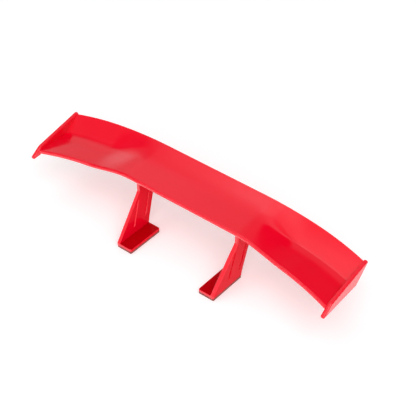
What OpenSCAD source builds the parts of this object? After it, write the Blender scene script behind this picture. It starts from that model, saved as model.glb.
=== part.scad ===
// Small stick-on racing rear wing: a scooped blade between two end plates, on two uprights with L feet.
// Millimetres. X runs along the span, the leading edge faces -Y and +Z is up. Left is -X.
// Heights count from the surface that the wing stands on, depths (y) from the front of its feet.

/* [Blade, straight centre] */
// Width over the outer faces of the end plates
span = 270; // [240:1:320]
// Depth of the leading edge
nose_y = 19.4; // [16:0.1:24]
// Height of the upper side at the leading edge
nose_z = 52.8; // [50:0.1:58]
// Height of the upper side at the crease between floor and ramp
crease_z = 55.6; // [53:0.1:58]
// Depth of the trailing edge
tail_y = 58.6; // [56:0.1:64]
// Height of the upper side at the trailing edge
tail_z = 60.6; // [58:0.1:66]
// Depth of the raised ramp along the trailing edge
ramp_l = 14.6; // [12:0.1:17]
// Thickness behind the leading edge
nose_t = 3.4; // [2.8:0.1:4]
// Thickness at the trailing edge
tail_t = 1.2; // [1:0.1:2]
// Half width of the soft bend between floor and ramp in the straight centre
soft_mid = 7; // [3:0.5:9]

/* [Blade, outer wings] */
// Distance from the middle to where leading edge and crease start to drop
bend_x = 49; // [44:1:54]
// Width of the S-shaped drop
step_w = 40; // [32:1:48]
// Drop of the leading edge across the S
nose_step = 5.1; // [3:0.1:8]
// Drop of the crease across the S
crease_step = 7; // [5:0.1:9]
// Further droop of the leading edge at the tips
nose_droop = 5.4; // [3:0.1:7]
// Further droop of the crease at the tips
crease_droop = 5.9; // [3:0.1:8]
// How far the leading edge sweeps forward at the tips
nose_sweep = 10.5; // [5:0.1:13]
// Distance from the middle to where the trailing edge starts to drop
tail_bend_x = 42; // [36:1:50]
// Drop of the trailing edge at the tips
tail_droop = 7.5; // [4:0.1:11]
// How far the trailing edge sweeps forward at the tips
tail_sweep = 6.2; // [3:0.1:9]
// Half width of the crisp crease at the tips
soft_tip = 1.2; // [1:0.1:4]
// Depth of the shallow cove ahead of that crease
cove_l = 9; // [5:0.5:12]
// Share of the turn from floor to ramp that the cove takes
cove_share = 0.3; // [0.1:0.05:0.45]
// Share of that turn that curls the ramp up to the trailing edge
curl_share = 0.15; // [0.05:0.05:0.3]

/* [End plates] */
// Thickness of an end plate
plate_t = 3.2; // [2.8:0.1:4.5]
// Reach of the toe ahead of the blade's tip
plate_reach = 8.6; // [3:0.1:9]
// Length of the slanted brow above the toe
brow_l = 11.7; // [5:0.1:14]
// Height of the brow above the lower edge
brow_h = 7.9; // [5:0.1:10]
// Rise of the upper rear corner above the blade's tip
plate_rise = 0.9; // [0.2:0.1:3]
// Reach of the upper rear corner behind the blade's tip
plate_back = 4; // [1:0.1:6]
// Toe below the underside of the leading edge
plate_drop = 2.4; // [1.5:0.1:3.2]
// Rise of the lower rear corner above the toe
heel_rise = 2.5; // [1:0.1:3]
// Lower rear corner behind the crease
heel_back = 3.4; // [2:0.1:5]
// Corner radius of the brow
brow_r = 3; // [1:0.5:6]
// Radius of the other corners
plate_r = 1.2; // [0.5:0.1:1.5]

/* [Tabs that hold the end plates] */
// Length of a tab beyond the blade's end
tab_l = 2; // [1:0.1:2.4]
// Width of a tab
tab_w = 6; // [4:0.5:8]
// How far a tab is rooted in the blade's end
tab_root = 0.5; // [0.3:0.1:1]
// Thickness of a tab
tab_t = 1; // [0.8:0.1:1.2]
// Clearance of a tab in its slot
slot_gap = 0.1; // [0.05:0.05:0.3]

/* [Uprights] */
// Width over the outer faces of the uprights, at their feet
stance = 91.7; // [84:0.1:94]
// Lean of the uprights away from the middle, run over rise
splay = 0.038; // [0:0.002:0.05]
// Thickness of an upright's plate
upright_t = 3.1; // [2.6:0.1:4]
// Depth of the upright front edge under the blade
neck_y = 25.4; // [24:0.1:30]
// Height where the slanted front edge turns upright
neck_z = 37.2; // [34:0.1:42]
// Rear edge just above the foot, behind the foot's end
ankle_back = 1; // [0.2:0.1:4]
// Height of the bevel between foot and rear edge
ankle_z = 8.6; // [6:0.1:12]
// Lean of the rear edge, run over rise
rear_lean = 0.3; // [0.15:0.01:0.4]
// Length of a foot
foot_l = 32.6; // [28:0.1:36]
// Width of a foot, with the upright on it
foot_w = 14; // [11:0.5:18]
// Thickness of a foot
foot_t = 2.2; // [1.8:0.1:4]
// Radius of a foot's inner corners
foot_r = 1.5; // [0.5:0.1:3]
// Width of the flange under the blade, with the top of the upright
flange_w = 11; // [10:0.1:13]
// Thickness of that flange
flange_t = 2.4; // [2:0.1:3]
// Height of the blade's bosses above the flange
boss_h = 1.6; // [1.2:0.1:3]

/* [Lines on the uprights] */
// Front line ahead of the rear edge
front_line = 17; // [14:0.1:19]
// Rear line ahead of the rear edge
rear_line = 5.3; // [3:0.1:8]
// Width of a line
line_w = 1.6; // [0.8:0.1:2]
// Depth of the grooves in the outer face
groove_d = 0.9; // [0.4:0.1:1.2]
// Height of the beads on the inner face
bead_h = 0.7; // [0.3:0.05:0.8]
// Height of the front line's lower end
front_line_z0 = 9.5; // [7:0.5:14]
// Front line's upper end below the neck
line_drop = 6; // [4:0.5:12]
// Height of the rear line's lower end
rear_line_z0 = 12.5; // [11:0.5:18]
// Gap between the rear groove and the short mark below it
mark_gap = 0.8; // [0.5:0.1:1.5]

/* [Screws] */
// Thread diameter of the self-tapping screws
screw_d = 2.2; // [2:0.1:2.6]
// Length under the head
screw_l = 6; // [5:0.1:6.3]
// Diameter of a screw's head
head_d = 4.2; // [3.8:0.1:5]
// Diameter of the head's flat crown
crown_d = 3.1; // [2.6:0.1:3.6]
// Height of a screw's head
head_h = 1.6; // [1.3:0.1:2]
// Length of the cross recess
cross_l = 2.1; // [1.6:0.1:2.4]
// Width of the cross recess
cross_w = 0.6; // [0.4:0.1:0.8]
// Depth of the cross recess
cross_d = 0.9; // [0.5:0.1:1]
// Clearance round the shank in the flange
shank_gap = 0.2; // [0.1:0.05:0.4]
// Clearance round the shank in its pilot hole, where the threads are left out
thread_gap = 0.05; // [0.02:0.01:0.1]
// Room behind the foot for a screwdriver
driver_room = 0.9; // [0.3:0.1:2]
// Margin from the rear screw to the flange's rear end
screw_margin = 3.6; // [2.6:0.1:5]

/* [Foam tape] */
// Thickness of a foam pad
pad_t = 1.8; // [0.8:0.1:2.5]
// How far a pad stays inside the foot's outline
pad_inset = 0.2; // [0.1:0.1:1.5]

/* [Hidden] */
$fn = 48;

// Colours
red = [0.86, 0.05, 0.09];
foam_grey = [0.16, 0.15, 0.15];
steel = [0.62, 0.62, 0.64];

// Mesh density of the blade
step_stations = 8;
tip_stations = 6;
floor_shares = [0, 0.35, 0.65, 0.78, 0.9];
soft_points = 4;
ramp_points = 2;
arc_points = 6;
boss_points = 4;

// Lengths along the span
blade_half = span / 2 - plate_t;
upright_x = stance / 2;
inner_x = upright_x - upright_t;
groove_x0 = upright_x - groove_d;
groove_x1 = upright_x + groove_d;

// Rear edge of the uprights, and the ends of the lines that follow it
ankle_y = foot_l + ankle_back;
function rear_edge(z) = ankle_y + rear_lean * (z - ankle_z);
front_line_z1 = neck_z - line_drop;
mark_z1 = rear_line_z0 - mark_gap;

// Share of the way from a bend to the tip, and the S between centre and outer wing
function share(s, from) = max(0, (s - from) / (blade_half - from));
function ess(s) = let (k = min(1, max(0, (s - bend_x) / step_w))) k * k * (3 - 2 * k);

// Leading edge, crease and trailing edge at distance s from the middle
function front_y(s) = nose_y - nose_sweep * pow(share(s, bend_x), 2);
function front_z(s) = nose_z - nose_step * ess(s) - nose_droop * pow(share(s, bend_x), 2.5);
function rear_y(s) = tail_y - tail_sweep * pow(share(s, tail_bend_x), 3);
function rear_z(s) = tail_z - tail_droop * pow(share(s, tail_bend_x), 2);
function fold_y(s) = rear_y(s) - ramp_l;
function fold_z(s) = crease_z - crease_step * ess(s) - crease_droop * pow(share(s, bend_x), 2);
function soft(s) = soft_tip + (soft_mid - soft_tip) * (1 - ess(s));

// Where the round nose ends and the round tail begins
function nose_end(s) = front_y(s) + nose_t / 2;
function tail_start(s) = rear_y(s) - tail_t / 2;

// Share of an even bend that lies ahead of a depth, and the rise it has brought if it turns to a slope of 1
function turned(y, from, to) = min(1, max(0, (y - from) / (to - from)));
function lifted(y, from, to) = (to - from) / 2 * pow(turned(y, from, to), 2) + max(0, y - to);

// The bends from floor to ramp, a shallow cove, the crease and a slight curl, with their shares of the turn
function bend_from(s) = fold_y(s) - soft(s);
function bend_to(s) = fold_y(s) + soft(s);
function bends(s) = [
  [bend_from(s) - cove_l * ess(s), bend_to(s), cove_share],
  [bend_from(s), bend_to(s), 1 - cove_share - curl_share],
  [bend_to(s), rear_y(s), curl_share],
];
function sum(values) = values * [for (v = values) 1];
function turn(s, y) = sum([for (b = bends(s)) b[2] * turned(y, b[0], b[1])]);
function lift(s, y) = sum([for (b = bends(s)) b[2] * lifted(y, b[0], b[1])]);

// Upper side: the floor's slope and the whole turn are such that it meets the crease and the trailing edge
function reach(s) = (rear_y(s) - nose_end(s)) / (fold_y(s) - nose_end(s));
function fold_rise(s) = fold_z(s) - front_z(s);
function whole_turn(s) = (rear_z(s) - front_z(s) - fold_rise(s) * reach(s))
  / (lift(s, rear_y(s)) - lift(s, fold_y(s)) * reach(s));
function floor_slope(s) = (fold_rise(s) - whole_turn(s) * lift(s, fold_y(s))) / (fold_y(s) - nose_end(s));
function slope(s, y) = floor_slope(s) + whole_turn(s) * turn(s, y);
function top_z(s, y) = front_z(s) + floor_slope(s) * (y - nose_end(s)) + whole_turn(s) * lift(s, y);

// Underside: a thick lip that thins towards the tail, square to the slope
function to_tail(s, y) = (tail_start(s) - y) / (tail_start(s) - nose_end(s));
function wall(s, y) = tail_t + (nose_t - tail_t) * pow(to_tail(s, y), 2);
function under_z(s, y) = top_z(s, y) - wall(s, y) * sqrt(1 + pow(slope(s, y), 2));
function middle_z(s, y) = (top_z(s, y) + under_z(s, y)) / 2;

// The screwed seat between blade and uprights, below the lowest point of the underside over it
seat_ys = [for (i = [0:boss_points]) neck_y + (rear_edge(nose_z) - neck_y) * i / boss_points];
seat_z = min([for (y = seat_ys) under_z(0, y)]) - boss_h;
seat_back = rear_edge(seat_z);
splay_angle = atan(splay);
seat_x = upright_x + splay * (seat_z - pad_t);
flange_x = seat_x - flange_w;
screw_x = (flange_x + seat_x - upright_t) / 2;
screw_ys = [foot_l + driver_room + head_d / 2, seat_back - screw_margin];
screw_end = seat_z - flange_t + screw_l;

// Depth of a pilot hole past the screw's end, length trimmed off the uprights' plates, and the corner
// radius of a foot inside its plate
pilot_spare = 0.3;
plate_spare = 1;
blend_r = 0.2;

// The end of the blade, which the end plates follow
tip = blade_half;
tip_floor = fold_y(tip) - nose_end(tip);
tab_ys = [for (k = [1, 3]) nose_end(tip) + tip_floor * k / 4];
plate_z = under_z(tip, nose_end(tip)) - plate_drop;
toe_y = front_y(tip) - plate_reach;

// A polygon's corner, rounded to a radius
function unit(v) = v / norm(v);
function corner(p, before, after, r) =
  let (
    u = unit(before - p),
    v = unit(after - p),
    half = acos(u * v) / 2,
    centre = p + unit(u + v) * r / sin(half),
    from = p + u * r / tan(half) - centre,
    to = p + v * r / tan(half) - centre,
    start = atan2(from.y, from.x),
    gain = atan2(to.y, to.x) - start,
    turn = gain > 180 ? gain - 360 : gain < -180 ? gain + 360 : gain
  )
  [
    for (i = [0:arc_points])
      let (a = start + turn * i / arc_points)
      centre + r * [cos(a), sin(a)],
  ];
function rounded(points, radii) =
  let (n = len(points))
  [for (i = [0:n - 1]) each corner(points[i], points[(i + n - 1) % n], points[(i + 1) % n], radii[i])];

// Children on the right side, or mirrored to the left; y is centred on the whole wing
module on_side(side) translate([0, -tail_y / 2, 0]) mirror([side < 0 ? 1 : 0, 0, 0]) children();

// An outline in depth and height, as a plate that reaches from x0 to x1
module side_plate(x0, x1, outline) translate([x0, 0, 0]) rotate([90, 0, 90])
  linear_extrude(x1 - x0) polygon(outline);

// Stations along the blade, and the ring of points at each
half_stations = [
  0,
  for (i = [0:step_stations - 1]) bend_x + step_w * i / step_stations,
  for (i = [0:tip_stations]) bend_x + step_w + (tip - bend_x - step_w) * i / tip_stations,
];
last = len(half_stations) - 1;
stations = [for (i = [-last:last]) sign(i) * half_stations[abs(i)]];

function chord(s) = [
  for (k = floor_shares) nose_end(s) + (bend_from(s) - nose_end(s)) * k,
  for (i = [0:soft_points - 1]) bend_from(s) + 2 * soft(s) * i / soft_points,
  for (i = [0:ramp_points]) bend_to(s) + (tail_start(s) - bend_to(s)) * i / ramp_points,
];
function round_end(x, y, r, angles) =
  let (s = abs(x), half = (top_z(s, y) - under_z(s, y)) / 2)
  [for (a = angles) [x, y + r * cos(a), middle_z(s, y) + half * sin(a)]];
function ring(x) =
  let (s = abs(x), ys = chord(s))
  [
    for (y = ys) [x, y, top_z(s, y)],
    each round_end(x, tail_start(s), tail_t / 2, [45, 0, -45]),
    for (i = [len(ys) - 1:-1:0]) [x, ys[i], under_z(s, ys[i])],
    each round_end(x, nose_end(s), nose_t / 2, [240, 210, 180, 150, 120]),
  ];

module blade_skin() {
  rings = [for (x = stations) ring(x)];
  n = len(rings[0]);
  ends = len(rings) - 1;
  faces = [
    for (i = [0:ends - 1], j = [0:n - 1])
      let (a = i * n + j, b = i * n + (j + 1) % n)
      each [[a, b, b + n], [a, b + n, a + n]],
    [for (j = [n - 1:-1:0]) j],
    [for (j = [0:n - 1]) ends * n + j],
  ];
  polyhedron([for (r = rings) each r], faces, convexity = 6);
}

module boss() side_plate(flange_x, seat_x, [
  [neck_y, seat_z],
  [seat_back, seat_z],
  for (i = [boss_points:-1:0]) let (y = neck_y + (seat_back - neck_y) * i / boss_points)
    [y, middle_z(0, y)],
]);

module pilot_hole(y) translate([screw_x, y, seat_z - pilot_spare])
  cylinder(d = screw_d + 2 * thread_gap, h = screw_end - seat_z + 2 * pilot_spare);

module tab(y, gap) translate([tip - tab_root, y - tab_w / 2 - gap, middle_z(tip, y) - tab_t / 2 - gap])
  cube([tab_root + tab_l + gap, tab_w + 2 * gap, tab_t + 2 * gap]);

// One moulding: the skin, a boss over each upright and two tabs at each end
module blade() color(red) difference() {
  union() {
    translate([0, -tail_y / 2, 0]) blade_skin();
    for (side = [-1, 1]) on_side(side) {
      boss();
      for (y = tab_ys) tab(y, 0);
    }
  }
  for (side = [-1, 1], y = screw_ys) on_side(side) pilot_hole(y);
}

module end_plate(side) {
  outline = [
    [toe_y, plate_z],
    [fold_y(tip) + heel_back, plate_z + heel_rise],
    [rear_y(tip) + plate_back, rear_z(tip) + plate_rise],
    [toe_y + brow_l, plate_z + brow_h],
  ];
  color(red) on_side(side) difference() {
    side_plate(tip, span / 2, rounded(outline, [plate_r, plate_r, plate_r, brow_r]));
    for (y = tab_ys) tab(y, slot_gap);
  }
}

// A strip along the rear edge's lean, between two heights
module line_strip(x0, x1, ahead, z0, z1) side_plate(x0, x1, [
  [rear_edge(z0) - ahead - line_w / 2, z0],
  [rear_edge(z0) - ahead + line_w / 2, z0],
  [rear_edge(z1) - ahead + line_w / 2, z1],
  [rear_edge(z1) - ahead - line_w / 2, z1],
]);

module lines(x0, x1) {
  line_strip(x0, x1, front_line, front_line_z0, front_line_z1);
  line_strip(x0, x1, rear_line, rear_line_z0, seat_z - flange_t);
}

// Children tilted outwards about the outer lower edge of an upright
module leaning() translate([upright_x, 0, pad_t]) rotate([0, splay_angle, 0])
  translate([-upright_x, 0, -pad_t]) children();

module upright(side) {
  outline = [
    [0, pad_t - plate_spare],
    [foot_l, pad_t - plate_spare],
    [foot_l, pad_t + foot_t],
    [ankle_y, ankle_z],
    [rear_edge(seat_z + plate_spare), seat_z + plate_spare],
    [neck_y, seat_z + plate_spare],
    [neck_y, neck_z],
    [0, pad_t + foot_t],
  ];
  foot = [
    [upright_x - foot_w, 0],
    [inner_x + upright_t / 2, 0],
    [inner_x + upright_t / 2, foot_l],
    [upright_x - foot_w, foot_l],
  ];
  color(red) on_side(side) difference() {
    union() {
      intersection() {
        leaning() {
          side_plate(inner_x, upright_x, outline);
          lines(inner_x - bead_h, inner_x + bead_h);
        }
        translate([0, 0, pad_t]) cube([span / 2, tail_y, seat_z - pad_t]);
      }
      translate([0, 0, pad_t]) linear_extrude(foot_t)
        polygon(rounded(foot, [foot_r, blend_r, blend_r, foot_r]));
      translate([flange_x, neck_y, seat_z - flange_t])
        cube([flange_w - upright_t / 2, seat_back - neck_y - flange_t * rear_lean, flange_t]);
    }
    leaning() {
      lines(groove_x0, groove_x1);
      line_strip(groove_x0, groove_x1, rear_line, mark_z1 - line_w, mark_z1);
    }
    for (y = screw_ys) translate([screw_x, y, seat_z - 2 * flange_t])
      cylinder(d = screw_d + 2 * shank_gap, h = 3 * flange_t);
  }
}

module foam_pad(side) color(foam_grey) on_side(side)
  translate([upright_x - foot_w + pad_inset, pad_inset, 0])
    cube([foot_w - 2 * pad_inset, foot_l - 2 * pad_inset, pad_t]);

// Pan head with a cross recess under the flange, plain shank up into the boss
module screw(side, y) color(steel) on_side(side) translate([screw_x, y, seat_z - flange_t]) difference() {
  union() {
    translate([0, 0, -head_h]) cylinder(d1 = crown_d, d2 = head_d, h = head_h / 2);
    translate([0, 0, -head_h / 2]) cylinder(d = head_d, h = head_h / 2);
    cylinder(d = screw_d, h = screw_l);
  }
  for (turn = [0, 90]) rotate([0, 0, turn])
    translate([-cross_l / 2, -cross_w / 2, -head_h - cross_d]) cube([cross_l, cross_w, 2 * cross_d]);
}

blade();
end_plate(-1);  // end_plate_left
end_plate(1);  // end_plate_right
upright(-1);  // upright_left
upright(1);  // upright_right
foam_pad(-1);  // foam_pad_left
foam_pad(1);  // foam_pad_right
screw(-1, screw_ys[0]);  // screw_left_front
screw(-1, screw_ys[1]);  // screw_left_rear
screw(1, screw_ys[0]);  // screw_right_front
screw(1, screw_ys[1]);  // screw_right_rear
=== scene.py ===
"""Dresses a small stick-on rear wing: a glossy red blade between two end plates, on two screwed uprights
that stand on pads of foam tape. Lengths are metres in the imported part's frame: +X to the right along the
span, -Y to the leading edge, +Z up. Depths count from the front of the feet."""

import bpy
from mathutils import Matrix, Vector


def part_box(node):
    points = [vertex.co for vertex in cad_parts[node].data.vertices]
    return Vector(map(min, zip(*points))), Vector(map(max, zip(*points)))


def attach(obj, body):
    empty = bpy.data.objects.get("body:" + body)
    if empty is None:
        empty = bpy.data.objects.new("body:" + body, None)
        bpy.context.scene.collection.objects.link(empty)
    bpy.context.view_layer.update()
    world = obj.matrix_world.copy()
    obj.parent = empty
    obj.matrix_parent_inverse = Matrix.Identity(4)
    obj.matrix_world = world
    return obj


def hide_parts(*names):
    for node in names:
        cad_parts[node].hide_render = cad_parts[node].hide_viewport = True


bl_info = {
    "name": "Stick-on Rear Wing",
    "version": (1, 0, 0),
    "blender": (4, 5, 0),
    "location": "3D View > Sidebar > Rear Wing",
    "description": "Models and finishes the pieces of a small stick-on rear wing, and lights them",
    "category": "Object",
}

import math
from typing import NamedTuple

import bmesh
import bpy
from bpy.props import FloatProperty, FloatVectorProperty, PointerProperty
from bpy.types import Operator, Panel, PropertyGroup
from mathutils import Matrix, Vector

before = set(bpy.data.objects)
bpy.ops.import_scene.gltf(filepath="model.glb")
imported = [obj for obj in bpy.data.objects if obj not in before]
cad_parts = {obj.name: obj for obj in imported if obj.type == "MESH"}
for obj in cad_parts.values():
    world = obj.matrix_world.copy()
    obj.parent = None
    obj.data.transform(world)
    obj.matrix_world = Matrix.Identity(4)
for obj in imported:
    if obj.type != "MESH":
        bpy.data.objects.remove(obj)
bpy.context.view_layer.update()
UPRIGHT_LOW, UPRIGHT_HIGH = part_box("upright_right")
PLATE_LOW, PLATE_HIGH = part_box("end_plate_right")
PAD_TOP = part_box("foam_pad_right")[1].z

MM = 0.001
SIDES = {"left": -1, "right": 1}

# Facets of the round forms
SPAN_STEPS = 220
FLOOR_STEPS = 8
COVE_STEPS = 10
BEND_STEPS = 12
RAMP_STEPS = 8
NOSE_ARC_STEPS = 12
TAIL_ARC_STEPS = 6
CORNER_STEPS = 8
EDGE_STEPS = 4
SCREW_STEPS = 40

# How far a cutting or overlapping shape reaches past the face that it meets
SPARE = 1 * MM
# Faces that meet at more than this angle keep a sharp edge
SHARP_ANGLE = math.radians(32)
# Edges that turn by more than this bound a flat face
RIM_ANGLE = math.radians(60)
# Points closer than this are one
NEAR = 1e-7
# A direction follows an axis if this much of its length does
ALONG = 0.9
# Rounding of a bead or groove, as a share of its height
ROUND_LINE = 0.8
# Place of the polished red among an upright's finishes
POLISHED = 1

# Powers of the way out to the tips with which the blade's sweep and droop grow
NOSE_SWEEP_POWER = 2
NOSE_DROOP_POWER = 2.5
CREASE_DROOP_POWER = 2
TAIL_SWEEP_POWER = 3
TAIL_DROOP_POWER = 2


def length(name, description, mm):
    """A length property, given in millimetres."""
    return place(name, description, mm * MM)


def place(name, description, metres):
    """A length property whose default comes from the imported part, in metres."""
    return FloatProperty(name=name, description=description, default=metres, unit="LENGTH", precision=5)


def amount(name, description, value, unit="NONE"):
    """A plain number, or a quantity in a unit of its own."""
    return FloatProperty(name=name, description=description, default=value, unit=unit, precision=4)


def share(name, description, value):
    """A share, from 0 to 1."""
    return FloatProperty(
        name=name, description=description, default=value, subtype="FACTOR", min=0, max=1, precision=3
    )


def angle(name, description, degrees):
    """An angle property, given in degrees."""
    return FloatProperty(name=name, description=description, default=math.radians(degrees), subtype="ANGLE")


def colour(name, description, rgb):
    """A colour property in linear light."""
    return FloatVectorProperty(
        name=name, description=description, default=rgb, subtype="COLOR", size=3, min=0, max=1
    )


class BladeSizes(PropertyGroup):
    """The scooped blade."""

    front: place("Front of the feet", "Where depths count from, along Y", UPRIGHT_LOW.y)
    half: place("Half length", "From the middle to the blade's end", PLATE_LOW.x)
    nose_y: length("Nose depth", "Depth of the leading edge", 19.4)
    nose_z: length("Nose height", "Height of the upper side at the leading edge", 52.8)
    crease_z: length("Crease height", "Height of the upper side at the crease", 55.6)
    tail_y: length("Tail depth", "Depth of the trailing edge", 58.6)
    tail_z: length("Tail height", "Height of the upper side at the trailing edge", 60.6)
    ramp_l: length("Ramp depth", "Depth of the raised ramp along the trailing edge", 14.6)
    nose_t: length("Nose thickness", "Thickness behind the leading edge", 3.4)
    tail_t: length("Tail thickness", "Thickness at the trailing edge", 1.2)
    soft_mid: length("Bend in the centre", "Half width of the soft bend in the straight centre", 7)
    soft_tip: length("Bend at the tips", "Half width of the crisp crease at the tips", 1.2)
    cove_l: length("Cove depth", "Depth of the shallow cove ahead of the crease at the tips", 9)
    cove_share: share("Cove share", "Share of the turn from floor to ramp that the cove takes", 0.3)
    curl_share: share("Curl share", "Share of that turn that curls the ramp up to the trailing edge", 0.15)
    bend_x: length("Bend place", "From the middle to where leading edge and crease drop", 49)
    step_w: length("S width", "Width of the S-shaped drop", 40)
    nose_step: length("Nose drop", "Drop of the leading edge across the S", 5.1)
    crease_step: length("Crease drop", "Drop of the crease across the S", 7)
    nose_droop: length("Nose droop", "Further droop of the leading edge at the tips", 5.4)
    crease_droop: length("Crease droop", "Further droop of the crease at the tips", 5.9)
    nose_sweep: length("Nose sweep", "How far the leading edge sweeps forward at the tips", 10.5)
    tail_bend_x: length("Tail bend place", "From the middle to where the trailing edge drops", 42)
    tail_droop: length("Tail droop", "Drop of the trailing edge at the tips", 7.5)
    tail_sweep: length("Tail sweep", "How far the trailing edge sweeps forward at the tips", 6.2)
    tab_l: length("Tab length", "Length of a tab beyond the blade's end", 2)
    tab_root: length("Tab root", "How far a tab reaches into the blade's end", 0.5)
    tab_w: length("Tab width", "Width of a tab", 6)
    tab_t: length("Tab thickness", "Thickness of a tab", 1)
    boss_r: length("Boss edge", "Radius of a boss's upright edges", 0.6)


class PlateSizes(PropertyGroup):
    """The end plates."""

    reach: length("Reach", "Reach of the toe ahead of the blade's tip", 8.6)
    brow_l: length("Brow length", "Length of the slanted brow above the toe", 11.7)
    brow_h: length("Brow height", "Height of the brow above the lower edge", 7.9)
    rise: length("Rise", "Rise of the upper rear corner above the blade's tip", 0.9)
    back: length("Back", "Reach of the upper rear corner behind the blade's tip", 4)
    drop: length("Drop", "Toe below the underside of the leading edge", 2.4)
    heel_rise: length("Heel rise", "Rise of the lower rear corner above the toe", 2.5)
    heel_back: length("Heel back", "Lower rear corner behind the crease", 3.4)
    brow_r: length("Brow radius", "Corner radius of the brow", 3)
    corner_r: length("Corner radius", "Radius of the other corners", 1.2)
    edge_r: length("Edge radius", "Radius of the rounded rim", 1.1)
    slot_gap: length("Slot clearance", "Clearance of a tab in its slot", 0.1)


class UprightSizes(PropertyGroup):
    """The uprights with their feet and flanges."""

    outer_x: length("Outer face", "From the middle to an upright's outer face, at its foot", 45.85)
    thickness: length("Thickness", "Thickness of an upright's plate", 3.1)
    splay: amount("Splay", "Lean away from the middle, run over rise", 0.038)
    base_z: place("Underside", "Height of a foot's underside", PAD_TOP)
    seat_z: place("Seat", "Height of the seat under the blade", UPRIGHT_HIGH.z)
    neck_y: length("Neck depth", "Depth of the upright front edge under the blade", 25.4)
    neck_z: length("Neck height", "Height where the slanted front edge turns upright", 37.2)
    ankle_back: length("Ankle", "Rear edge just above the foot, behind the foot's end", 1)
    ankle_z: length("Ankle height", "Height of the bevel between foot and rear edge", 8.6)
    rear_lean: amount("Rear lean", "Lean of the rear edge, run over rise", 0.3)
    foot_l: length("Foot length", "Length of a foot", 32.6)
    foot_w: length("Foot width", "Width of a foot, with the upright on it", 14)
    foot_t: length("Foot thickness", "Thickness of a foot", 2.2)
    foot_r: length("Foot corner", "Radius of a foot's inner corners", 1.5)
    flange_w: length("Flange width", "Width of the flange under the blade", 11)
    flange_t: length("Flange thickness", "Thickness of that flange", 2.4)
    edge_r: length("Edge radius", "Radius of the foot's and flange's rounded edges", 0.5)
    inner_r: length("Inner edge", "Radius of the plate's edges on its inner side", 0.3)
    outer_r: length("Outer edge", "Radius of the plate's edges on its outer side", 1)
    line_w: length("Line width", "Width of a bead or groove", 1.6)
    groove_d: length("Groove depth", "Depth of the grooves in the outer face", 0.9)
    bead_h: length("Bead height", "Height of the beads on the inner face", 0.7)
    front_line: length("Front line", "Front line ahead of the rear edge", 17)
    rear_line: length("Rear line", "Rear line ahead of the rear edge", 5.3)
    front_line_z0: length("Front line's foot", "Height of the front line's lower end", 9.5)
    line_drop: length("Front line's top", "Front line's upper end below the neck", 6)
    rear_line_z0: length("Rear line's foot", "Height of the rear line's lower end", 12.5)
    mark_gap: length("Mark gap", "Gap between the rear groove and the mark below it", 0.8)
    hole_d: length("Hole", "Diameter of a screw hole in the flange", 2.6)


class ScrewSizes(PropertyGroup):
    """The self-tapping screws."""

    shank_d: length("Shank", "Diameter of the shank", 2.2)
    head_d: length("Head", "Diameter of the pan head", 4.2)
    head_h: length("Head height", "Height of the pan head", 1.6)
    crown_d: length("Crown", "Diameter of the head's flat crown", 3.1)
    cross_l: length("Cross length", "Length of the cross recess", 2.1)
    cross_w: length("Cross width", "Width of the cross recess", 0.6)
    cross_d: length("Cross depth", "Depth of the cross recess", 0.9)
    bottom_l: share("Cross bottom length", "Share of the length that is left at the recess's bottom", 0.5)
    bottom_w: share("Cross bottom width", "Share of the width that is left at the recess's bottom", 0.7)
    point_l: length("Point", "Length of the conical point", 0.6)
    pilot_gap: length("Pilot clearance", "Clearance round the shank in its pilot hole", 0.05)
    pilot_end: length("Pilot end", "Room beyond the point in the pilot hole", 0.3)


class PadSizes(PropertyGroup):
    """The pads of foam tape."""

    corner_r: length("Corner radius", "Radius of a pad's corners", 0.9)
    edge_r: length("Edge radius", "Radius of a pad's upper and lower edges", 0.27)


class FinishLooks(PropertyGroup):
    """Colours and gloss."""

    red: colour("Red", "Main colour of the moulded plastic", (0.865, 0.0015, 0.02))
    deep_red: colour("Deep red", "Darker drift in the moulded plastic", (0.845, 0.0012, 0.018))
    # Painted shade: the uprights' flat sides take a darker copy of the blade's red, with its drift
    shaded_satin_red: colour("Satin red", "Main colour of the uprights' flat sides", (0.81, 0.0012, 0.018))
    deep_shaded_satin: colour("Deep satin red", "Darker drift in the uprights' flat sides", (0.76, 0.001, 0.015))
    # Painted shade: the deeper red on the top face of a foot
    foot_top_shade_red: colour("Red over tape", "Deeper red on top of a foot", (0.44, 0.0004, 0.004))
    plastic_ior: amount("Plastic IOR", "Refractive index of the plastic", 1.5)
    satin: share("Satin", "Specular level of the uprights, less than a polished surface's 0.5", 0.027)
    gloss: share("Gloss", "Roughness of the plastic where it is best polished", 0.09)
    haze: share("Haze", "Roughness of the plastic where it is dullest", 0.17)
    # Painted light: both foam colours are lighter and redder than the near-black foam itself
    foam: colour("Foam", "Main colour of the foam tape", (0.46, 0.095, 0.085))
    foam_pore: colour("Foam pores", "Colour in the pores of the foam", (0.1, 0.024, 0.021))
    steel: colour("Steel", "Main colour of the plated screws", (0.6, 0.6, 0.62))
    worn_steel: colour("Worn steel", "Duller patches of the plating", (0.42, 0.42, 0.44))


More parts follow.
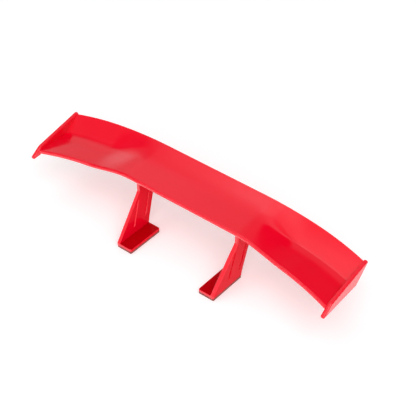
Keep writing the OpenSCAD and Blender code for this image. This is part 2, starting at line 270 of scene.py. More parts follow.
class StudioSetup(PropertyGroup):
    """Camera, light and floor."""

    eye: FloatVectorProperty(
        name="Eye", description="Place of the camera", default=(0.41257, -0.48532, 0.58247),
        subtype="XYZ", unit="LENGTH",
    )
    azimuth: angle("Azimuth", "Direction of the camera round the wing", 39.172)
    elevation: angle("Elevation", "Height of the camera above the horizon", 40.282)
    lens: amount("Lens", "Focal length on a 36 mm sensor", 101.24, "CAMERA")
    sky: amount("Sky", "Brightness of the white studio round the wing", 0.865)
    key: amount("Key light", "Power of the large soft light at the front right", 10.5, "POWER")
    key_size: length("Key size", "Side of the key light", 1200)
    key_azimuth: angle("Key azimuth", "Direction of the key light round the wing", 45)
    key_elevation: angle("Key elevation", "Height of the key light above the horizon", 48)
    strip: amount("Front strip", "Power of the low strip light at the front", 2.6, "POWER")
    strip_w: length("Strip width", "Width of the strip light", 1000)
    strip_h: length("Strip height", "Height of the strip light", 350)
    strip_azimuth: angle("Strip azimuth", "Direction of the strip light round the wing", -15)
    strip_elevation: angle("Strip elevation", "Height of the strip light above the horizon", 14)
    light_distance: length("Light distance", "From the wing to the lights", 1600)
    floor_size: length("Floor", "Side of the square floor", 8000)
    floor_white: share("Floor white", "Reflectance of the floor", 0.92)
    floor_lift: amount("Floor lift", "What the bare floor adds for the camera round the wing", 0.2)
    fade_start: length("Fade start", "From the middle to where the floor starts to turn plain white", 350)
    fade_end: length("Fade end", "From the middle to where the floor is plain white", 1100)
    # Painted light: the floor glows in reflections, brighter there than its lighting makes it
    floor_glow_in_reflections: amount("Floor shine", "What the bare floor adds in reflections", 0.9)


# Mesh helpers


def new_piece(name, bm):
    """A mesh object at the origin from a bmesh, which is used up."""
    mesh = bpy.data.meshes.new(name)
    bm.to_mesh(mesh)
    bm.free()
    piece = bpy.data.objects.new(name, mesh)
    bpy.context.scene.collection.objects.link(piece)
    return piece


def round_edges(bm, edges, radius):
    """Rounds edges to a radius."""
    bmesh.ops.bevel(
        bm, geom=edges, offset=radius, offset_type="OFFSET", segments=EDGE_STEPS, profile=0.5,
        affect="EDGES", clamp_overlap=False, material=-1,
    )


def rounded(corners, radii):
    """The points of a flat outline, with an arc at each corner that has a radius."""
    points = []
    count = len(corners)
    for i, radius in enumerate(radii):
        point = Vector(corners[i])
        if not radius:
            points.append(point)
            continue
        to_last = (Vector(corners[i - 1]) - point).normalized()
        to_next = (Vector(corners[(i + 1) % count]) - point).normalized()
        half = to_last.angle(to_next) / 2
        setback = radius / math.tan(half)
        centre = point + (to_last + to_next).normalized() * radius / math.sin(half)
        first = (point + to_last * setback - centre).normalized()
        last = (point + to_next * setback - centre).normalized()
        points += [centre + first.slerp(last, k / CORNER_STEPS) * radius for k in range(CORNER_STEPS + 1)]
    return points


def extruded(points, reach):
    """A solid from the points of a flat outline, drawn out by a vector."""
    bm = bmesh.new()
    bm.faces.new([bm.verts.new(point) for point in points])
    drawn = bmesh.ops.extrude_face_region(bm, geom=bm.faces[:], use_keep_orig=True)
    moved = [item for item in drawn["geom"] if isinstance(item, bmesh.types.BMVert)]
    bmesh.ops.translate(bm, vec=reach, verts=moved)
    bmesh.ops.recalc_face_normals(bm, faces=bm.faces)
    return bm


def block(low, high):
    """A box between two corners."""
    low, high = Vector(low), Vector(high)
    bm = bmesh.new()
    bmesh.ops.create_cube(bm, size=1)
    bmesh.ops.scale(bm, vec=high - low, verts=bm.verts)
    bmesh.ops.translate(bm, vec=(low + high) / 2, verts=bm.verts)
    return bm


def close_up(bm):
    """Fills the open ends of a skin and turns its faces outwards."""
    bmesh.ops.holes_fill(bm, edges=[edge for edge in bm.edges if edge.is_boundary])
    bmesh.ops.recalc_face_normals(bm, faces=bm.faces)


def rim_edges(bm):
    """The edges round a solid's flat faces, without those between the facets of an arc."""
    return [edge for edge in bm.edges if edge.calc_face_angle(0) > RIM_ANGLE]


def standing_edges(bm):
    """The edges that stand up."""
    runs = {edge: edge.verts[1].co - edge.verts[0].co for edge in bm.edges}
    return [edge for edge, run in runs.items() if abs(run.z) > ALONG * run.length]


def combine(piece, bm, operation):
    """Joins a bmesh to a piece or cuts it out, and uses the bmesh up."""
    tool = new_piece("tool", bm)
    step = piece.modifiers.new("step", "BOOLEAN")
    step.operation = operation
    step.solver = "MANIFOLD"
    step.object = tool
    graph = bpy.context.evaluated_depsgraph_get()
    result = bpy.data.meshes.new_from_object(piece.evaluated_get(graph))
    piece.modifiers.clear()
    old = piece.data
    piece.data = result
    tool_mesh = tool.data
    bpy.data.objects.remove(tool)
    bpy.data.meshes.remove(tool_mesh)
    bpy.data.meshes.remove(old)


def join(piece, bm):
    """Joins a bmesh to a piece."""
    combine(piece, bm, "UNION")


def cut(piece, bm):
    """Cuts a bmesh out of a piece."""
    combine(piece, bm, "DIFFERENCE")


def mirror_to(bm, side):
    """Turns a right-hand bmesh into the left one where the side asks for it."""
    if side < 0:
        bmesh.ops.scale(bm, vec=(-1, 1, 1), verts=bm.verts)
        bmesh.ops.reverse_faces(bm, faces=bm.faces)
    return bm


def finish_piece(piece, side, finishes, node):
    """Mirrors, smooths and paints a piece, seats it on the part and hides the node that it stands for."""
    mesh = piece.data
    mesh.name = piece.name
    bm = bmesh.new()
    bm.from_mesh(mesh)
    bmesh.ops.remove_doubles(bm, verts=bm.verts, dist=NEAR)
    mirror_to(bm, side)
    for face in bm.faces:
        face.smooth = True
    for edge in bm.edges:
        edge.smooth = edge.calc_face_angle(0) < SHARP_ANGLE
    bm.to_mesh(mesh)
    bm.free()
    # Emptying the slots that the cuts left sets every face back to the first finish
    choices = [face.material_index for face in mesh.polygons]
    mesh.materials.clear()
    for finish in finishes:
        mesh.materials.append(finish)
    mesh.polygons.foreach_set("material_index", choices)
    piece.modifiers.new("even shading", "WEIGHTED_NORMAL").keep_sharp = True
    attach(piece, "root")
    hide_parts(node)


# Blade


def turned(y, start, end):
    """Share of an even bend between two depths that lies ahead of a depth."""
    return min(1.0, max(0.0, (y - start) / (end - start)))


def lifted(y, start, end):
    """Rise that such a bend to a slope of 1 has brought at a depth."""
    return (end - start) / 2 * turned(y, start, end) ** 2 + max(0.0, y - end)


class Section:
    """The blade's cross-section at one distance from the middle."""

    def __init__(self, sizes, distance):
        def way_out(start):
            return max(0.0, (distance - start) / (sizes.half - start))

        # How much of the S-shaped drop lies inside this distance
        k = min(1.0, max(0.0, (distance - sizes.bend_x) / sizes.step_w))
        ess = k * k * (3 - 2 * k)
        out = way_out(sizes.bend_x)
        tail_out = way_out(sizes.tail_bend_x)
        self.sizes = sizes
        self.front_y = sizes.nose_y - sizes.nose_sweep * out ** NOSE_SWEEP_POWER
        nose_droop = sizes.nose_droop * out ** NOSE_DROOP_POWER
        self.front_z = sizes.nose_z - sizes.nose_step * ess - nose_droop
        self.rear_y = sizes.tail_y - sizes.tail_sweep * tail_out ** TAIL_SWEEP_POWER
        self.rear_z = sizes.tail_z - sizes.tail_droop * tail_out ** TAIL_DROOP_POWER
        self.fold_y = self.rear_y - sizes.ramp_l
        crease_droop = sizes.crease_droop * out ** CREASE_DROOP_POWER
        self.fold_z = sizes.crease_z - sizes.crease_step * ess - crease_droop
        self.nose_end = self.front_y + sizes.nose_t / 2
        self.tail_start = self.rear_y - sizes.tail_t / 2
        soft = sizes.soft_tip + (sizes.soft_mid - sizes.soft_tip) * (1 - ess)
        self.bend_start = self.fold_y - soft
        self.bend_end = self.fold_y + soft
        self.cove_start = self.bend_start - sizes.cove_l * ess
        self.bends = (
            (self.cove_start, self.bend_end, sizes.cove_share),
            (self.bend_start, self.bend_end, 1 - sizes.cove_share - sizes.curl_share),
            (self.bend_end, self.rear_y, sizes.curl_share),
        )
        # The floor's slope and the turn to the ramp follow from the heights at nose, crease and tail
        reach = (self.rear_y - self.nose_end) / (self.fold_y - self.nose_end)
        fold_rise = self.fold_z - self.front_z
        rear_rise = self.rear_z - self.front_z
        lever = self.lift(self.rear_y) - self.lift(self.fold_y) * reach
        self.gain = (rear_rise - fold_rise * reach) / lever
        self.floor_slope = (fold_rise - self.gain * self.lift(self.fold_y)) / (self.fold_y - self.nose_end)

    def turn(self, y):
        """Share of the turn from floor to ramp that lies ahead of a depth."""
        return sum(weight * turned(y, start, end) for start, end, weight in self.bends)

    def lift(self, y):
        """Rise that the turn has brought at a depth, if it turned to a slope of 1."""
        return sum(weight * lifted(y, start, end) for start, end, weight in self.bends)

    def top(self, y):
        """Height of the upper side."""
        return self.front_z + self.floor_slope * (y - self.nose_end) + self.gain * self.lift(y)

    def wall(self, y):
        """Thickness, measured upright. Across the skin it grows with the square of the way to the nose."""
        to_tail = (self.tail_start - y) / (self.tail_start - self.nose_end)
        across = self.sizes.tail_t + (self.sizes.nose_t - self.sizes.tail_t) * to_tail ** 2
        return across * math.hypot(1, self.floor_slope + self.gain * self.turn(y))

    def under(self, y):
        """Height of the underside."""
        return self.top(y) - self.wall(y)

    def middle(self, y):
        """Height midway between both sides."""
        return self.top(y) - self.wall(y) / 2

    def round_end(self, y, radius, start, steps):
        """Half a turn round the nose or tail, without its two ends."""
        half = self.wall(y) / 2
        turns = [start - math.pi * i / steps for i in range(1, steps)]
        return [(y + radius * math.cos(t), self.middle(y) + half * math.sin(t)) for t in turns]

    def ring(self):
        """Depths and heights round the section: over the top, round the tail, back and up the nose."""
        depths = steps_between(self.nose_end, self.cove_start, FLOOR_STEPS)
        depths += steps_between(self.cove_start, self.bend_start, COVE_STEPS)
        depths += steps_between(self.bend_start, self.bend_end, BEND_STEPS)
        depths += steps_between(self.bend_end, self.tail_start, RAMP_STEPS)
        depths.append(self.tail_start)
        points = [(y, self.top(y)) for y in depths]
        points += self.round_end(self.tail_start, self.sizes.tail_t / 2, math.pi / 2, TAIL_ARC_STEPS)
        points += [(y, self.under(y)) for y in reversed(depths)]
        points += self.round_end(self.nose_end, self.sizes.nose_t / 2, -math.pi / 2, NOSE_ARC_STEPS)
        return points


def steps_between(start, end, steps):
    """Evenly spaced values from the start, up to but without the end."""
    return [start + (end - start) * i / steps for i in range(steps)]


def blade_skin(sizes):
    """The closed skin of the blade: a grid, wrapped round the section at each station along the span."""
    stations = [sizes.half * (2 * i / SPAN_STEPS - 1) for i in range(SPAN_STEPS + 1)]
    rings = [Section(sizes, abs(x)).ring() for x in stations]
    around = len(rings[0])
    bm = bmesh.new()
    bmesh.ops.create_grid(bm, x_segments=SPAN_STEPS, y_segments=around, size=1)
    for vert in bm.verts:
        i = round((vert.co.x + 1) / 2 * SPAN_STEPS)
        j = round((vert.co.y + 1) / 2 * around) % around
        depth, height = rings[i][j]
        vert.co = (stations[i], sizes.front + depth, height)
    bmesh.ops.remove_doubles(bm, verts=bm.verts, dist=NEAR)
    close_up(bm)
    return bm


def tab_depths(sizes):
    """Middles of the two tabs at each end, at a quarter and three quarters of the floor."""
    tip = Section(sizes, sizes.half)
    return [tip.nose_end + (tip.fold_y - tip.nose_end) * k / 4 for k in (1, 3)]


def tab(sizes, depth, side, gap):
    """A tab at the blade's end, or its slot with a clearance."""
    level = Section(sizes, sizes.half).middle(depth)
    half_w = sizes.tab_w / 2 + gap
    half_t = sizes.tab_t / 2 + gap
    y = sizes.front + depth
    bm = block(
        (sizes.half - sizes.tab_root, y - half_w, level - half_t),
        (sizes.half + sizes.tab_l + gap, y + half_w, level + half_t),
    )
    return mirror_to(bm, side)


def boss(blade, upright, side):
    """The block under the blade that an upright is screwed to, up into the middle of the skin."""
    centre = Section(blade, 0)
    seat_x = leaning_x(upright, upright.seat_z)
    depths = (upright.neck_y, rear_edge(upright, upright.seat_z))
    low_x = seat_x - upright.flange_w
    outline = [(low_x, blade.front + y, upright.seat_z) for y in depths]
    outline += [(low_x, blade.front + y, centre.middle(y)) for y in reversed(depths)]
    bm = extruded(outline, (upright.flange_w, 0, 0))
    round_edges(bm, standing_edges(bm), blade.boss_r)
    return mirror_to(bm, side)


class WING_OT_blade(Operator):
    """Model the scooped blade with its bosses and tabs"""

    bl_idname = "wing.blade"
    bl_label = "Blade"

    def execute(self, context):
        scene = context.scene
        sizes = scene.wing_blade
        piece = new_piece("moulded_blade", blade_skin(sizes))
        for side in SIDES.values():
            join(piece, boss(sizes, scene.wing_upright, side))
            for depth in tab_depths(sizes):
                join(piece, tab(sizes, depth, side, 0))
        screws = scene.wing_screw
        pilot_d = screws.shank_d + 2 * screws.pilot_gap
        for node in screw_nodes():
            pilot_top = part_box(node)[1].z + screws.pilot_end
            cut(piece, bore(node, scene.wing_upright.seat_z - SPARE, pilot_top, pilot_d))
        finish_piece(piece, 1, [material(polished_red, scene.wing_finish)], "blade")
        return {"FINISHED"}


# End plates


class WING_OT_end_plates(Operator):
    """Model the two end plates with their blind slots"""

    bl_idname = "wing.end_plates"
    bl_label = "End Plates"

    def execute(self, context):
        scene = context.scene
        blade = scene.wing_blade
        sizes = scene.wing_plate
        tip = Section(blade, blade.half)
        toe_y = tip.front_y - sizes.reach
        low_z = tip.under(tip.nose_end) - sizes.drop
        outline = [
            (toe_y, low_z),
            (tip.fold_y + sizes.heel_back, low_z + sizes.heel_rise),
            (tip.rear_y + sizes.back, tip.rear_z + sizes.rise),
            (toe_y + sizes.brow_l, low_z + sizes.brow_h),
        ]
        corners = [(PLATE_LOW.x, blade.front + y, z) for y, z in outline]
        radii = [sizes.corner_r, sizes.corner_r, sizes.corner_r, sizes.brow_r]
        reach = (PLATE_HIGH.x - PLATE_LOW.x, 0, 0)
        red = material(polished_red, scene.wing_finish)
        for name, side in SIDES.items():
            bm = extruded(rounded(corners, radii), reach)
            round_edges(bm, rim_edges(bm), sizes.edge_r)
            piece = new_piece(f"moulded_end_plate_{name}", bm)
            for depth in tab_depths(blade):
                cut(piece, tab(blade, depth, 1, sizes.slot_gap))
            finish_piece(piece, side, [red], f"end_plate_{name}")
        return {"FINISHED"}


# Uprights


def rear_edge(sizes, z):
    """Depth of an upright's rear edge at a height."""
    return sizes.foot_l + sizes.ankle_back + sizes.rear_lean * (z - sizes.ankle_z)


def leaning_x(sizes, z):
    """Outer face of an upright at a height."""
    return sizes.outer_x + sizes.splay * (z - sizes.base_z)


def lean(sizes, bm):
    """Tilts an upright's parts outwards about the outer lower edge."""
    pivot = (sizes.outer_x, 0, sizes.base_z)
    turn = Matrix.Rotation(math.atan(sizes.splay), 3, "Y")
    bmesh.ops.rotate(bm, cent=pivot, matrix=turn, verts=bm.verts)
    return bm


def upright_plate(sizes, front):
    """The leaning plate, cut level at the seat."""
    foot_top = sizes.base_z + sizes.foot_t
    over = sizes.seat_z + SPARE
    outline = [
        (0, sizes.base_z),
        (sizes.foot_l, sizes.base_z),
        (sizes.foot_l, foot_top),
        (sizes.foot_l + sizes.ankle_back, sizes.ankle_z),
        (rear_edge(sizes, over), over),
        (sizes.neck_y, over),
        (sizes.neck_y, sizes.neck_z),
        (0, foot_top),
    ]
    inner_x = sizes.outer_x - sizes.thickness
    bm = extruded([(inner_x, front + y, z) for y, z in outline], (sizes.thickness, 0, 0))
    for face_x, radius in ((inner_x, sizes.inner_r), (sizes.outer_x, sizes.outer_r)):
        face_rim = [edge for edge in bm.edges if all(abs(vert.co.x - face_x) < NEAR for vert in edge.verts)]
        round_edges(bm, face_rim, radius)
    lean(sizes, bm)
    whole = bm.verts[:] + bm.edges[:] + bm.faces[:]
    bmesh.ops.bisect_plane(
        bm, geom=whole, plane_co=(0, 0, sizes.seat_z), plane_no=(0, 0, 1), clear_outer=True
    )
    close_up(bm)
    return bm


def foot(sizes, front):
    """The foot, inwards from the plate."""
    inner_x = sizes.outer_x - sizes.foot_w
    outer_x = sizes.outer_x - sizes.thickness / 2
    corners = [
        (inner_x, front, sizes.base_z),
        (outer_x, front, sizes.base_z),
        (outer_x, front + sizes.foot_l, sizes.base_z),
        (inner_x, front + sizes.foot_l, sizes.base_z),
    ]
    outline = rounded(corners, [sizes.foot_r, 0, 0, sizes.foot_r])
    bm = extruded(outline, (0, 0, sizes.foot_t))
    round_edges(bm, rim_edges(bm), sizes.edge_r)
    return bm


def flange(sizes, front):
    """The flange under the blade, inwards from the plate."""
    seat_x = leaning_x(sizes, sizes.seat_z)
    under_z = sizes.seat_z - sizes.flange_t
    bm = block(
        (seat_x - sizes.flange_w, front + sizes.neck_y, under_z),
        (seat_x - sizes.thickness / 2, front + rear_edge(sizes, under_z), sizes.seat_z),
    )
    round_edges(bm, bm.edges[:], sizes.edge_r)
    return bm


class Line(NamedTuple):
    """A bead or groove that leans with the rear edge: how far ahead of it, and the heights of its ends."""

    ahead: float
    low_z: float
    high_z: float


def line_bar(sizes, front, face_x, half_t, line):
    """A rounded bar along a line, half in and half out of a face."""
    half_w = sizes.line_w / 2
    ends = ((line.low_z, -half_w), (line.low_z, half_w), (line.high_z, half_w), (line.high_z, -half_w))
    corners = [
        (face_x - half_t, front + rear_edge(sizes, z) - line.ahead + offset, z) for z, offset in ends
    ]
    bm = extruded(corners, (2 * half_t, 0, 0))
    round_edges(bm, bm.edges[:], half_t * ROUND_LINE)
    return lean(sizes, bm)


class WING_OT_uprights(Operator):
    """Model the two leaning uprights with foot, flange, beads and grooves"""

    bl_idname = "wing.uprights"
    bl_label = "Uprights"

    def execute(self, context):
        scene = context.scene
        sizes = scene.wing_upright
        front = scene.wing_blade.front
        inner_x = sizes.outer_x - sizes.thickness
        under_z = sizes.seat_z - sizes.flange_t
        front_line = Line(sizes.front_line, sizes.front_line_z0, sizes.neck_z - sizes.line_drop)
        rear_line = Line(sizes.rear_line, sizes.rear_line_z0, under_z)
        mark_z = sizes.rear_line_z0 - sizes.mark_gap
        mark = Line(sizes.rear_line, mark_z - sizes.line_w, mark_z)
        satin = material(shaded_satin_red, scene.wing_finish)
        polished = material(polished_red, scene.wing_finish)
        for name, side in SIDES.items():
            piece = new_piece(f"moulded_upright_{name}", upright_plate(sizes, front))
            join(piece, foot(sizes, front))
            join(piece, flange(sizes, front))
            for line in (front_line, rear_line):
                join(piece, line_bar(sizes, front, inner_x, sizes.bead_h, line))
            for face in piece.data.polygons:
                if abs(face.normal.x) < ALONG and face.normal.z < ALONG:
                    face.material_index = POLISHED
            for line in (front_line, rear_line, mark):
                cut(piece, line_bar(sizes, front, sizes.outer_x, sizes.groove_d, line))
            for node in screw_nodes("right"):
                cut(piece, bore(node, under_z - SPARE, sizes.seat_z + SPARE, sizes.hole_d))
            finish_piece(piece, side, [satin, polished], f"upright_{name}")
        return {"FINISHED"}


# Screws


def screw_nodes(side=None):
    """Names of the screws, on one side or both."""
    sides = [side] if side else list(SIDES)
    return [f"screw_{name}_{end}" for name in sides for end in ("front", "rear")]


def screw_axis(node):
    """X and Y of a packed screw's axis."""
    low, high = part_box(node)
    return (low.x + high.x) / 2, (low.y + high.y) / 2


def bore(node, low_z, high_z, diameter):
    """A cylinder round a packed screw's axis, between two heights."""
    bm = bmesh.new()
    bmesh.ops.create_cone(
        bm, cap_ends=True, segments=SCREW_STEPS, radius1=diameter / 2, radius2=diameter / 2,
        depth=high_z - low_z,
    )
    bmesh.ops.translate(bm, vec=(*screw_axis(node), (low_z + high_z) / 2), verts=bm.verts)
    return bm


def screw_body(sizes, node):
    """A turned pan head and shank, head down, between the heights of a packed screw."""
    low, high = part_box(node)
    x, y = screw_axis(node)
    head_top = low.z + sizes.head_h
    crown = sizes.crown_d / 2
    rim = sizes.head_d / 2
    shank = sizes.shank_d / 2
    profile = [(0, low.z), (crown, low.z)]
    profile += [
        (crown + (rim - crown) * math.sin(t), low.z + sizes.head_h / 2 * (1 - math.cos(t)))
        for t in (math.pi / 2 * i / EDGE_STEPS for i in range(1, EDGE_STEPS + 1))
    ]
    profile += [(rim, head_top), (shank, head_top), (shank, high.z - sizes.point_l), (0, high.z)]
    bm = bmesh.new()
    verts = [bm.verts.new((x + r, y, z)) for r, z in profile]
    edges = [bm.edges.new(pair) for pair in zip(verts, verts[1:])]
    bmesh.ops.spin(
        bm, geom=verts + edges, cent=(x, y, 0), axis=(0, 0, 1), angle=2 * math.pi, steps=SCREW_STEPS,
        use_merge=True,
    )
    bmesh.ops.remove_doubles(bm, verts=bm.verts, dist=NEAR)
    bmesh.ops.recalc_face_normals(bm, faces=bm.faces)
    return bm


def cross_bar(sizes, node, turn):
    """One bar of the cross recess, smaller at its bottom."""
    half_l = sizes.cross_l / 2
    half_w = sizes.cross_w / 2
    bm = block((-half_l, -half_w, -sizes.cross_d), (half_l, half_w, sizes.cross_d))
    deep = [vert for vert in bm.verts if vert.co.z > 0]
    bmesh.ops.scale(bm, vec=(sizes.bottom_l, sizes.bottom_w, 1), verts=deep)
    bmesh.ops.rotate(bm, matrix=Matrix.Rotation(turn, 3, "Z"), verts=bm.verts)
    bmesh.ops.translate(bm, vec=(*screw_axis(node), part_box(node)[0].z), verts=bm.verts)
    return bm


class WING_OT_screws(Operator):
    """Turn the four pan-head screws with their cross recesses"""

    bl_idname = "wing.screws"
    bl_label = "Screws"

    def execute(self, context):
        scene = context.scene
        sizes = scene.wing_screw
        for node in screw_nodes():
            piece = new_piece(f"pan_{node}", screw_body(sizes, node))
            for turn in (0, math.pi / 2):
                cut(piece, cross_bar(sizes, node, turn))
            finish_piece(piece, 1, [material(plated_steel, scene.wing_finish)], node)
        return {"FINISHED"}


# Foam tape


class WING_OT_foam_pads(Operator):
    """Model the two pads of foam tape under the feet"""

    bl_idname = "wing.foam_pads"
    bl_label = "Foam Pads"

    def execute(self, context):
        scene = context.scene
        sizes = scene.wing_pad
        for name in SIDES:
            bm = block(*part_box(f"foam_pad_{name}"))
            round_edges(bm, standing_edges(bm), sizes.corner_r)
            round_edges(bm, rim_edges(bm), sizes.edge_r)
            piece = new_piece(f"tape_pad_{name}", bm)
            finish_piece(piece, 1, [material(foam_with_painted_light, scene.wing_finish)], f"foam_pad_{name}")
        return {"FINISHED"}


# Finishes


class Texture(NamedTuple):
    """A pattern in a finish: waves or cells per metre, layers of finer noise, and its relief if any."""

    scale: float
    detail: float = 0
    depth: float = 0
    strength: float = 0


PIGMENT_DRIFT = Texture(scale=22, detail=3)
HAZY_PATCHES = Texture(scale=70, detail=4)
ORANGE_PEEL = Texture(scale=260, detail=1, depth=0.02 * MM, strength=0.25)
FLOW_MARKS = Texture(scale=2400, detail=2, depth=0.004 * MM, strength=0.3)
FOAM_PORES = Texture(scale=2600, depth=0.15 * MM, strength=0.7)
FOAM_GRAIN = Texture(scale=900, detail=3)
PLATING_CLOUDS = Texture(scale=800, detail=3)
PLATING_WEAR = Texture(scale=3000, detail=3)
TURNING_MARKS = Texture(scale=6000, detail=2, depth=0.01 * MM, strength=0.4)

# Noise seldom leaves this range
NOISE_RANGE = (0.3, 0.7)
FOAM_ROUGHNESS = (0.8, 0.95)
STEEL_ROUGHNESS = (0.22, 0.4)
# Painted shade: the deeper red on top of a foot sets in between these heights above its top and these upward
# parts of the normal
SHADED_FOOT_HEIGHTS = (0.5 * MM, 0.1 * MM)
SHADED_FOOT_NORMALS = (0.8, 0.97)
# Places of the Mix node's colour sockets, whose names it uses more than once
MIX_COLOURS = (6, 7)
MIX_RESULT = 2


class Nodes:
    """A node tree, with short ways to add nodes and to feed their sockets."""

    def __init__(self, tree):
        self.tree = tree
        self.coordinates = self.add("ShaderNodeTexCoord").outputs

    def add(self, kind, **settings):
        """A node with its settings."""
        node = self.tree.nodes.new(kind)
        for key, value in settings.items():
            setattr(node, key, value)
        return node

    def give(self, socket, value):
        """Links an output to a socket, or sets a plain number, vector or RGB colour on it."""
        if isinstance(value, bpy.types.NodeSocket):
            self.tree.links.new(value, socket)
        elif socket.type == "RGBA":
            socket.default_value = (*value, 1)
        else:
            socket.default_value = value

    def feed(self, node, **values):
        """Gives values to a node's sockets, by name with _ for a space."""
        for key, value in values.items():
            self.give(node.inputs[key.replace("_", " ")], value)

    def maths(self, operation, *values):
        """The result of an operation on numbers."""
        node = self.add("ShaderNodeMath", operation=operation)
        for socket, value in zip(node.inputs, values):
            self.give(socket, value)
        return node.outputs[0]

    def ramp(self, value, start, end, low=0.0, high=1.0):
        """A number that goes from low to high as a value goes from start to end."""
        node = self.add("ShaderNodeMapRange", interpolation_type="SMOOTHSTEP")
        self.feed(node, Value=value, From_Min=start, From_Max=end, To_Min=low, To_Max=high)
        return node.outputs["Result"]


class Finish(Nodes):
    """A material in the making."""

    def __init__(self, name):
        made = bpy.data.materials.new(name)
        made.use_nodes = True
        super().__init__(made.node_tree)

    def shade(self, **values):
        """Gives values to the shader's sockets."""
        self.feed(self.tree.nodes["Principled BSDF"], **values)

    def noise(self, texture):
        """A noise on the piece's own coordinates."""
        node = self.add("ShaderNodeTexNoise")
        self.feed(node, Vector=self.coordinates["Object"], Scale=texture.scale, Detail=texture.detail)
        return node.outputs["Fac"]

    def cells(self, texture):
        """Distance to the middles of random cells."""
        node = self.add("ShaderNodeTexVoronoi")
        self.feed(node, Vector=self.coordinates["Object"], Scale=texture.scale)
        return node.outputs["Distance"]

    def upright_part(self, kind):
        """The Z of the piece's own coordinates or of its normal."""
        node = self.add("ShaderNodeSeparateXYZ")
        self.give(node.inputs[0], self.coordinates[kind])
        return node.outputs["Z"]

    def patches(self, noise, low=0.0, high=1.0):
        """A number that wanders between two values with a noise."""
        return self.ramp(noise, *NOISE_RANGE, low, high)

    def blend(self, factor, *colours):
        """A colour between two."""
        node = self.add("ShaderNodeMix", data_type="RGBA")
        self.feed(node, Factor=factor)
        for index, shade in zip(MIX_COLOURS, colours):
            self.give(node.inputs[index], shade)
        return node.outputs[MIX_RESULT]

    def relief(self, texture, height, **under):
        """The normal of a texture's relief, with another relief as Normal where it lies on one."""
        node = self.add("ShaderNodeBump")
        self.feed(node, Height=height, Distance=texture.depth, Strength=texture.strength, **under)
        return node.outputs["Normal"]


def material(make, looks):
    """The material that a function below makes, made once and named after it."""
    name = make.__name__
    if name not in bpy.data.materials:
        make(Finish(name), looks)
    return bpy.data.materials[name]


def drifting(finish, main, deep):
    """A colour with a slow drift, as pigment settles in moulded plastic."""
    return finish.blend(finish.patches(finish.noise(PIGMENT_DRIFT)), main, deep)


def moulded_skin(finish, looks):
    """The skin of plastic from a polished tool: hazy patches, orange peel and faint flow marks."""
    peel = finish.relief(ORANGE_PEEL, finish.noise(ORANGE_PEEL))
    finish.shade(
        Roughness=finish.patches(finish.noise(HAZY_PATCHES), looks.gloss, looks.haze),
        Normal=finish.relief(FLOW_MARKS, finish.noise(FLOW_MARKS), Normal=peel),
        IOR=looks.plastic_ior,
    )


def polished_red(finish, looks):
    """The glossy red of the blade, the end plates and the uprights' edges."""
    moulded_skin(finish, looks)
    finish.shade(Base_Color=drifting(finish, looks.red, looks.deep_red))


def shaded_satin_red(finish, looks):
    """The duller red of the uprights' flat sides: a darker copy of the blade's red, which is painted shade,
    and deeper still on top of a foot, as more painted shade.
    """
    moulded_skin(finish, looks)
    upright = bpy.context.scene.wing_upright
    foot_top = upright.base_z + upright.foot_t
    # Painted shade: darker red on the upward faces at a foot's top
    low = finish.ramp(finish.upright_part("Object"), *(foot_top + height for height in SHADED_FOOT_HEIGHTS))
    level = finish.ramp(finish.upright_part("Normal"), *SHADED_FOOT_NORMALS)
    painted_foot_shade = finish.maths("MULTIPLY", low, level)
    # Painted shade: a darker copy of the blade's red on the flat sides
    sides = drifting(finish, looks.shaded_satin_red, looks.deep_shaded_satin)
    finish.shade(Base_Color=finish.blend(painted_foot_shade, sides, looks.foot_top_shade_red), Specular_IOR_Level=looks.satin)


def foam_with_painted_light(finish, looks):
    """Closed-cell foam tape: matt, with open pores on its cut sides. Its colours are painted light: lighter
    and redder than the near-black foam, standing in for light and the plastic's red glow on its shaded
    edges.
    """
    pores = finish.cells(FOAM_PORES)
    finish.shade(
        Base_Color=finish.blend(finish.patches(pores), looks.foam_pore, looks.foam),
        Roughness=finish.patches(finish.noise(FOAM_GRAIN), *FOAM_ROUGHNESS),
        Normal=finish.relief(FOAM_PORES, pores),
    )


def plated_steel(finish, looks):
    """Zinc-plated steel: bright, with cloudy patches and fine turning marks."""
    clouds = finish.patches(finish.noise(PLATING_CLOUDS))
    finish.shade(
        Base_Color=finish.blend(clouds, looks.steel, looks.worn_steel),
        Roughness=finish.patches(finish.noise(PLATING_WEAR), *STEEL_ROUGHNESS),
        Normal=finish.relief(TURNING_MARKS, finish.noise(TURNING_MARKS)),
        Metallic=1,
    )


# Studio


WHITE = (1, 1, 1)


class Patch(NamedTuple):
    """A patch of the studio: its direction and the angles over which it fades, in degrees, and its level."""

    azimuth: float
    elevation: float
    inner: float
    outer: float
    level: float


# What the gloss shows of the studio: dark gaps between the soft boxes, and a few brighter spots
PATCHES = (
    Patch(172, 58, 9.5, 14, 0.0),
    Patch(-160, 57, 5, 22, 0.55),
    Patch(-160, 45, 7, 15, 0.17),
    Patch(-75, 38, 8, 19, 0.12),
    Patch(-50, 36, 6, 14, 0.4),
    Patch(-28, 42, 4, 14, 0.6),
    Patch(-100, 43, 5, 20, 0.35),
    Patch(-131, 27, 3, 14, 0.7),
    Patch(-121, 17, 3, 9, 1.3),
    Patch(-107, 64, 3, 9, 1.3),
    Patch(-92, 72, 8, 13, 1.6),
    Patch(-45, 62, 5, 14, 1.4),
    Patch(-45, 4, 4, 11, 0.1),
    Patch(90, 80, 6, 16, 0.4),
    Patch(114, 38, 15, 24, 0.1),
)


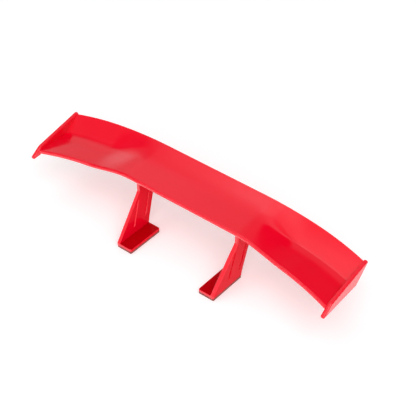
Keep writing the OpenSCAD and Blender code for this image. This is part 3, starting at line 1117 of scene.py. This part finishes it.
def studio_floor(finish, setup):
    """White paper that keeps the wing's shadow, and turns plain white far away, so that no horizon shows. In
    reflections it glows, a painted light that brightens the floor that the plastic mirrors.
    """
    path = finish.add("ShaderNodeLightPath").outputs
    distance = finish.add("ShaderNodeVectorMath", operation="LENGTH")
    finish.give(distance.inputs[0], finish.coordinates["Object"])
    lift = finish.ramp(distance.outputs["Value"], setup.fade_start, setup.fade_end, setup.floor_lift, 1)
    # Painted light: the floor glows for glossy rays
    shine = finish.maths("MULTIPLY", path["Is Glossy Ray"], setup.floor_glow_in_reflections)
    finish.shade(
        Base_Color=[setup.floor_white] * 3,
        Roughness=1,
        Specular_IOR_Level=0,
        Emission_Color=WHITE,
        Emission_Strength=finish.maths("MULTIPLY_ADD", path["Is Camera Ray"], lift, shine),
    )


def toward(azimuth, elevation):
    """Unit vector from two angles: azimuth 0 is the front, a quarter turn the right."""
    flat = math.cos(elevation)
    return Vector((math.sin(azimuth) * flat, -math.cos(azimuth) * flat, math.sin(elevation)))


def patch_level(nodes, patch):
    """The patch's level inside it, 1 outside."""
    dot = nodes.add("ShaderNodeVectorMath", operation="DOT_PRODUCT")
    nodes.give(dot.inputs[0], nodes.coordinates["Generated"])
    nodes.give(dot.inputs[1], toward(math.radians(patch.azimuth), math.radians(patch.elevation)))
    outer, inner = (math.cos(math.radians(spread)) for spread in (patch.outer, patch.inner))
    return nodes.ramp(dot.outputs["Value"], outer, inner, 1, patch.level)


def studio_sky(scene, setup):
    """White studio walls with their patches. The camera sees plain white."""
    scene.world = bpy.data.worlds.new("studio")
    scene.world.use_nodes = True
    nodes = Nodes(scene.world.node_tree)
    level = setup.sky
    for patch in PATCHES:
        level = nodes.maths("MULTIPLY", level, patch_level(nodes, patch))
    to_camera = nodes.add("ShaderNodeLightPath").outputs["Is Camera Ray"]
    background = nodes.tree.nodes["Background"]
    nodes.feed(background, Color=WHITE, Strength=nodes.ramp(to_camera, 0, 1, level, 1))


def aim(thing, back):
    """Turns a light or camera to look against a direction."""
    thing.rotation_mode = "QUATERNION"
    thing.rotation_quaternion = (-back).to_track_quat("-Z", "Y")


def soft_box(name, watts, width, height, azimuth, elevation, distance):
    """A rectangular soft light that faces the wing."""
    light = bpy.data.lights.new(name, "AREA")
    light.shape = "RECTANGLE"
    light.energy = watts
    light.size = width
    light.size_y = height
    box = bpy.data.objects.new(name, light)
    box.location = toward(azimuth, elevation) * distance
    aim(box, box.location)
    bpy.context.scene.collection.objects.link(box)


class WING_OT_studio(Operator):
    """Set up the white floor, the soft light and the camera"""

    bl_idname = "wing.studio"
    bl_label = "Studio"

    def execute(self, context):
        scene = context.scene
        setup = scene.wing_studio
        bm = bmesh.new()
        bmesh.ops.create_grid(bm, x_segments=1, y_segments=1, size=setup.floor_size / 2)
        floor = new_piece("studio_floor", bm)
        floor.data.materials.append(material(studio_floor, setup))

        studio_sky(scene, setup)
        soft_box(
            "key_light", setup.key, setup.key_size, setup.key_size,
            setup.key_azimuth, setup.key_elevation, setup.light_distance,
        )
        soft_box(
            "front_strip", setup.strip, setup.strip_w, setup.strip_h,
            setup.strip_azimuth, setup.strip_elevation, setup.light_distance,
        )

        lens = bpy.data.cameras.new("camera")
        lens.lens = setup.lens
        camera = bpy.data.objects.new("camera", lens)
        camera.location = setup.eye
        aim(camera, toward(setup.azimuth, setup.elevation))
        scene.collection.objects.link(camera)
        scene.camera = camera
        scene.view_settings.view_transform = "Standard"
        return {"FINISHED"}


def list_values(box, group):
    """Lists a group's values in a box of the panel."""
    for name in group.__annotations__:
        box.prop(group, name)


class WING_PT_panel(Panel):
    """Buttons and sizes in the sidebar"""

    bl_label = "Rear Wing"
    bl_idname = "WING_PT_panel"
    bl_space_type = "VIEW_3D"
    bl_region_type = "UI"
    bl_category = "Rear Wing"

    def draw(self, context):
        for operator, group in STEPS:
            box = self.layout.box()
            box.operator(operator)
            list_values(box, getattr(context.scene, group))
        box = self.layout.box()
        box.label(text="Finishes")
        list_values(box, context.scene.wing_finish)


GROUPS = {
    "wing_blade": BladeSizes,
    "wing_plate": PlateSizes,
    "wing_upright": UprightSizes,
    "wing_screw": ScrewSizes,
    "wing_pad": PadSizes,
    "wing_finish": FinishLooks,
    "wing_studio": StudioSetup,
}
STEPS = (
    ("wing.studio", "wing_studio"),
    ("wing.blade", "wing_blade"),
    ("wing.end_plates", "wing_plate"),
    ("wing.uprights", "wing_upright"),
    ("wing.screws", "wing_screw"),
    ("wing.foam_pads", "wing_pad"),
)
CLASSES = (
    *GROUPS.values(),
    WING_OT_studio,
    WING_OT_blade,
    WING_OT_end_plates,
    WING_OT_uprights,
    WING_OT_screws,
    WING_OT_foam_pads,
    WING_PT_panel,
)


def register():
    for cls in CLASSES:
        bpy.utils.register_class(cls)
    for name, group in GROUPS.items():
        setattr(bpy.types.Scene, name, PointerProperty(type=group))


def unregister():
    for name in GROUPS:
        delattr(bpy.types.Scene, name)
    for cls in reversed(CLASSES):
        bpy.utils.unregister_class(cls)


def main():
    register()
    bpy.ops.wing.studio()
    bpy.ops.wing.blade()
    bpy.ops.wing.end_plates()
    bpy.ops.wing.uprights()
    bpy.ops.wing.screws()
    bpy.ops.wing.foam_pads()
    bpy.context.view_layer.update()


if __name__ == "__main__":
    main()
